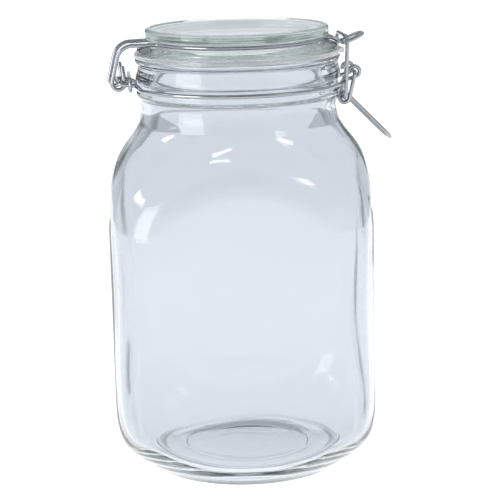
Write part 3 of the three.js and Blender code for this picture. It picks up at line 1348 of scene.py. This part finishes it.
@dataclass
class Clasp:
    """The lever with its coils and handle, and the loop that it pulls over the tongue."""

    pivot: Pair = PIVOT
    lever_spread: float = 11.9
    pivot_end: float = 7.2
    coil: Pair = (56.2, 200.6)
    coil_radius: float = 2.5
    coil_spread: float = 9.1
    handle: Pair = (83.0, 176.6)
    handle_radius: float = 8.0
    wire_bend: float = 1.6
    loop: Pair = (57.6, 233.7)
    loop_spread: float = 14.4
    loop_end: float = 7.4
    loop_radius: float = 3.0

    def lever(self) -> Tube:
        """The route of the lever's wire: pivot end, arm, coil, handle, and back.

        Returns:
            The wire, ready to be made.
        """
        start = tangent_angle(self.coil, self.coil_radius, self.pivot, -1)
        end = tangent_angle(self.coil, self.coil_radius, self.handle, 1) - 360
        inwards = (self.lever_spread - self.coil_spread) / math.radians(end - start)

        def place(angle: float) -> Vector:
            """The coil's point at an angle, each turn a little further in.

            Args:
                angle: The angle about the coil's middle, in radians.

            Returns:
                The point, in millimetres.
            """
            x = self.coil[0] + self.coil_radius * math.cos(angle)
            y = -self.lever_spread + inwards * (angle - math.radians(start))
            return Vector((x, y, self.coil[1] + self.coil_radius * math.sin(angle)))

        pivot_x, pivot_z = self.pivot
        corners = [Corner.of(pivot_x, -self.pivot_end, pivot_z)]
        corners.append(Corner.of(pivot_x, -self.lever_spread, pivot_z, self.wire_bend))
        corners += arc(start, end, Tube.TURN_STEP, place)
        handle_x, handle_z = self.handle
        corners.append(Corner.of(handle_x, -self.coil_spread, handle_z, self.handle_radius))
        return Tube.both_sides(corners)

    def latch(self) -> Tube:
        """The route of the loop, with its ends turned in through the lever's coils.

        Returns:
            The wire, ready to be made.
        """
        coil_x, coil_z = self.coil
        loop_x, loop_z = self.loop
        return Tube.both_sides(
            [
                Corner.of(coil_x, -self.loop_end, coil_z),
                Corner.of(coil_x, -self.loop_spread, coil_z, self.wire_bend),
                Corner.of(loop_x, -self.loop_spread, loop_z, self.loop_radius),
            ]
        )

    def build(self, finish: bpy.types.Material) -> None:
        """Makes the lever and the loop.

        Args:
            finish: The wire's metal.
        """
        lever = self.lever().build("lever_round")
        place_piece(lever, Body.LEVER, Slot.WIRE, finish, "lever_wire")
        latch = self.latch().build("loop_round")
        place_piece(latch, Body.LATCH, Slot.WIRE, finish, "latch_loop")


@dataclass(frozen=True)
class SoftBox:
    """A flat soft light that faces the jar.

    Attributes:
        name: Its name.
        azimuth: Direction it stands in, in degrees from +X towards +Y.
        elevation: Its height angle above the jar's middle, in degrees.
        distance: How far off it stands, in metres.
        width: Its width, in metres.
        height: Its height, in metres.
        power: Its power, in watts.
    """

    name: str
    azimuth: float
    elevation: float
    distance: float
    width: float
    height: float
    power: float

    def build(self) -> None:
        """Puts the light up. It shows in the glass and the metal, not on the paper."""
        light = bpy.data.lights.new(self.name, "AREA")
        light.shape = "RECTANGLE"
        light.size = self.width
        light.size_y = self.height
        light.energy = self.power
        lamp = bpy.data.objects.new(self.name, light)
        turn = math.radians(self.azimuth)
        rise = math.radians(self.elevation)
        level = math.cos(rise)
        away = Vector((math.cos(turn) * level, math.sin(turn) * level, math.sin(rise)))
        lamp.location = at(0, 0, JAR_MIDDLE) + away * self.distance
        lamp.rotation_euler = away.to_track_quat("Z", "Y").to_euler()
        lamp.visible_diffuse = False
        bpy.context.scene.collection.objects.link(lamp)


@dataclass(frozen=True)
class WallTones:
    """How bright one side of the room is, from the horizon up.

    Attributes:
        stops: Heights in degrees with the colours there.
    """

    stops: tuple[tuple[float, str], ...]

    def build(
        self, tree: bpy.types.NodeTree, height: bpy.types.NodeSocket
    ) -> bpy.types.NodeSocket:
        """Adds the side's colours.

        Args:
            tree: The world's node tree.
            height: The upward part of the direction.

        Returns:
            The colour in each direction.
        """
        ramp = add_node(tree, "ShaderNodeValToRGB", {"Fac": height})
        elements = ramp.color_ramp.elements
        elements.remove(elements[1])
        for n, (degrees, colour) in enumerate(self.stops):
            place = math.sin(math.radians(degrees))
            stop = elements[0] if n == 0 else elements.new(place)
            stop.position = place
            stop.color = linear(colour)
        return ramp.outputs["Color"]


@dataclass
class Studio:
    """White paper with a painted glow of its own, in a pale room with darker gaps behind the jar.

    Attributes:
        floor_reach: Half the paper's width, in metres.
        turn: Degrees that the room is turned from the frame's axes.
        sides: The room's pale sides and ceiling.
        gaps: The darker openings on both sides of the backdrop.
        gap_edges: Where an opening begins and ends, in degrees aside, with soft edges.
        front: The end where the camera stands.
        front_edges: Where that end is full and where it is gone, in degrees aside.
        strength: Strength of the room's light.
        boxes: The soft lights.
    """

    floor_reach: float = 3.6
    turn: float = CAMERA_TURN
    sides: WallTones = WallTones(((0, "#DDE2E8"), (50, "#C4CACE"), (90, "#A7AFB2")))
    gaps: WallTones = WallTones(
        ((0, "#65736F"), (9, "#65736F"), (15, "#D5DBE2"), (90, "#A7AFB2"))
    )
    gap_edges: tuple[float, float, float, float] = (12, 15, 22, 28)
    front: WallTones = WallTones(
        ((0, "#F8FAFC"), (20, "#B0B6BA"), (38, "#24282A"), (48, "#14181A"), (62, "#A7AFB2"))
    )
    front_edges: Pair = (30, 62)
    strength: float = 1.0
    boxes: tuple[SoftBox, ...] = (
        SoftBox("window", 205, 14, 2.0, 1.1, 1.3, 13),
        SoftBox("side_window", 166, 35.5, 2.0, 0.5, 0.14, 1.4),
        SoftBox("high_window", -33, 50, 2.0, 0.5, 0.14, 1.2),
        SoftBox("top_box", -127, 63.8, 2.0, 0.5, 0.06, 0.5),
    )

    def build(self) -> None:
        """Sets the studio up."""
        self.build_room()
        self.build_floor()
        for box in self.boxes:
            box.build()
        self.set_look()

    def build_room(self) -> None:
        """Lights the room, whose ends lie in line with the camera."""
        world = bpy.data.worlds.new("studio")
        world.use_nodes = True
        bpy.context.scene.world = world
        tree = world.node_tree
        tree.nodes.clear()
        way = add_node(tree, "ShaderNodeTexCoord").outputs["Generated"]
        height = add_node(tree, "ShaderNodeSeparateXYZ", {"Vector": way}).outputs["Z"]
        turn = math.radians(self.turn)
        ahead = add_node(tree, "ShaderNodeVectorMath", {"Vector": way}, operation="DOT_PRODUCT")
        ahead.inputs[1].default_value = (math.sin(turn), math.cos(turn), 0)
        aside = add_node(
            tree, "ShaderNodeMath", {"Value": ahead.outputs["Value"]}, operation="ARCCOSINE"
        ).outputs["Value"]
        near, far = self.front_edges
        inner, inner_full, outer_full, outer = self.gap_edges
        front = self.share(tree, aside, 180 - far, 180 - near)
        gap = self.share(tree, aside, inner, inner_full)
        beyond = self.share(tree, aside, outer, outer_full)
        both = add_node(tree, "ShaderNodeMath", {"Value": gap}, operation="MULTIPLY")
        tree.links.new(beyond, both.inputs[1])
        colour = self.sides.build(tree, height)
        for tones, share in ((self.front, front), (self.gaps, both.outputs["Value"])):
            # Of this node, inputs 6 and 7 and output 2 are the ones for colours.
            mix = add_node(tree, "ShaderNodeMix", {"Factor": share}, data_type="RGBA")
            tree.links.new(colour, mix.inputs[6])
            tree.links.new(tones.build(tree, height), mix.inputs[7])
            colour = mix.outputs[2]
        glow = add_node(tree, "ShaderNodeBackground", {"Color": colour}, Strength=self.strength)
        add_node(tree, "ShaderNodeOutputWorld", {"Surface": glow.outputs["Background"]})

    def share(
        self, tree: bpy.types.NodeTree, aside: bpy.types.NodeSocket, none: float, full: float
    ) -> bpy.types.NodeSocket:
        """Adds how much of one end of the room lies in each direction.

        Args:
            tree: The world's node tree.
            aside: The angle from straight ahead, in radians.
            none: Degrees aside where that end is gone.
            full: Degrees aside where it is full.

        Returns:
            The share, from 0 to 1.
        """
        node = add_node(
            tree,
            "ShaderNodeMapRange",
            {"Value": aside},
            interpolation_type="SMOOTHSTEP",
            From_Min=math.radians(none),
            From_Max=math.radians(full),
            To_Min=0.0,
            To_Max=1.0,
        )
        return node.outputs["Result"]

    def build_floor(self) -> None:
        """Lays the paper that the jar stands on."""
        reach = self.floor_reach
        corners = [(-reach, -reach), (reach, -reach), (reach, reach), (-reach, reach)]
        points = [Vector((x, y, 0)) for x, y in corners]
        floor = new_piece("paper", points, [(0, 1, 2, 3)])
        floor.data.materials.append(MattePaper().build())

    def set_look(self) -> None:
        """Sets plain picture colours and enough bounces for light to get through glass."""
        scene = bpy.context.scene
        scene.view_settings.view_transform = "Standard"
        scene.cycles.max_bounces = 24
        scene.cycles.transmission_bounces = 24
        scene.cycles.glossy_bounces = 12
        scene.cycles.sample_clamp_indirect = 4
        scene.cycles.use_denoising = True


@dataclass
class PhotoCamera:
    """The camera, standing and tilted as the photograph's.

    Attributes:
        lens: Focal length for a 36 mm wide frame.
        turn: Degrees that the camera stands to the left of the frame's front.
        distance: Level distance from the jar's axis, in millimetres.
        aside: How far it stands to its right, in millimetres.
        height: Its height, in millimetres.
        pitch: Degrees that it looks down.
        roll: Degrees that it is rolled clockwise.
    """

    lens: float = 133.2
    turn: float = CAMERA_TURN
    distance: float = 993.38
    aside: float = 4.223
    height: float = 337.44
    pitch: float = 12.5
    roll: float = 1.42

    def build(self) -> None:
        """Puts the camera up and makes it the scene's."""
        turn = math.radians(self.turn)
        right = Vector((math.cos(turn), -math.sin(turn), 0))
        level = Vector((math.sin(turn), math.cos(turn), 0))
        spot = right * self.aside - level * self.distance
        pitch = math.radians(self.pitch)
        ahead = level * math.cos(pitch) - Vector((0, 0, math.sin(pitch)))
        up = right.cross(ahead)
        roll = math.radians(self.roll)
        rolled_up = up * math.cos(roll) + right * math.sin(roll)
        rolled_right = right * math.cos(roll) - up * math.sin(roll)
        data = bpy.data.cameras.new("photo_camera")
        data.lens = self.lens
        data.sensor_width = 36
        data.clip_end = 50
        camera = bpy.data.objects.new("photo_camera", data)
        axes = Matrix((rolled_right, rolled_up, -ahead)).transposed()
        camera.matrix_world = Matrix.Translation(at(spot.x, spot.y, self.height)) @ axes.to_4x4()
        bpy.context.scene.collection.objects.link(camera)
        bpy.context.scene.camera = camera


def main() -> None:
    """Builds the camera, the studio and the canister, piece by piece."""
    logging.basicConfig(level=logging.INFO, format="%(name)s: %(message)s")
    PhotoCamera().build()
    Studio().build()
    wire = DrawnSteelWire().build()
    GlassBody().build(PressedGlass("pressed_soda_lime_glass").build())
    lid_glass = PressedGlass(
        "pressed_lid_glass", skin="#E8E9E8", depth="#D6E6E0", density=9.0, line_height=0.05
    )
    GlassLid().build(lid_glass.build())
    RubberSeal().build(MouldedSilicone().build())
    NeckFitting().build(wire)
    LidWire().build(wire)
    Clasp().build(wire)


if __name__ == "__main__":
    main()
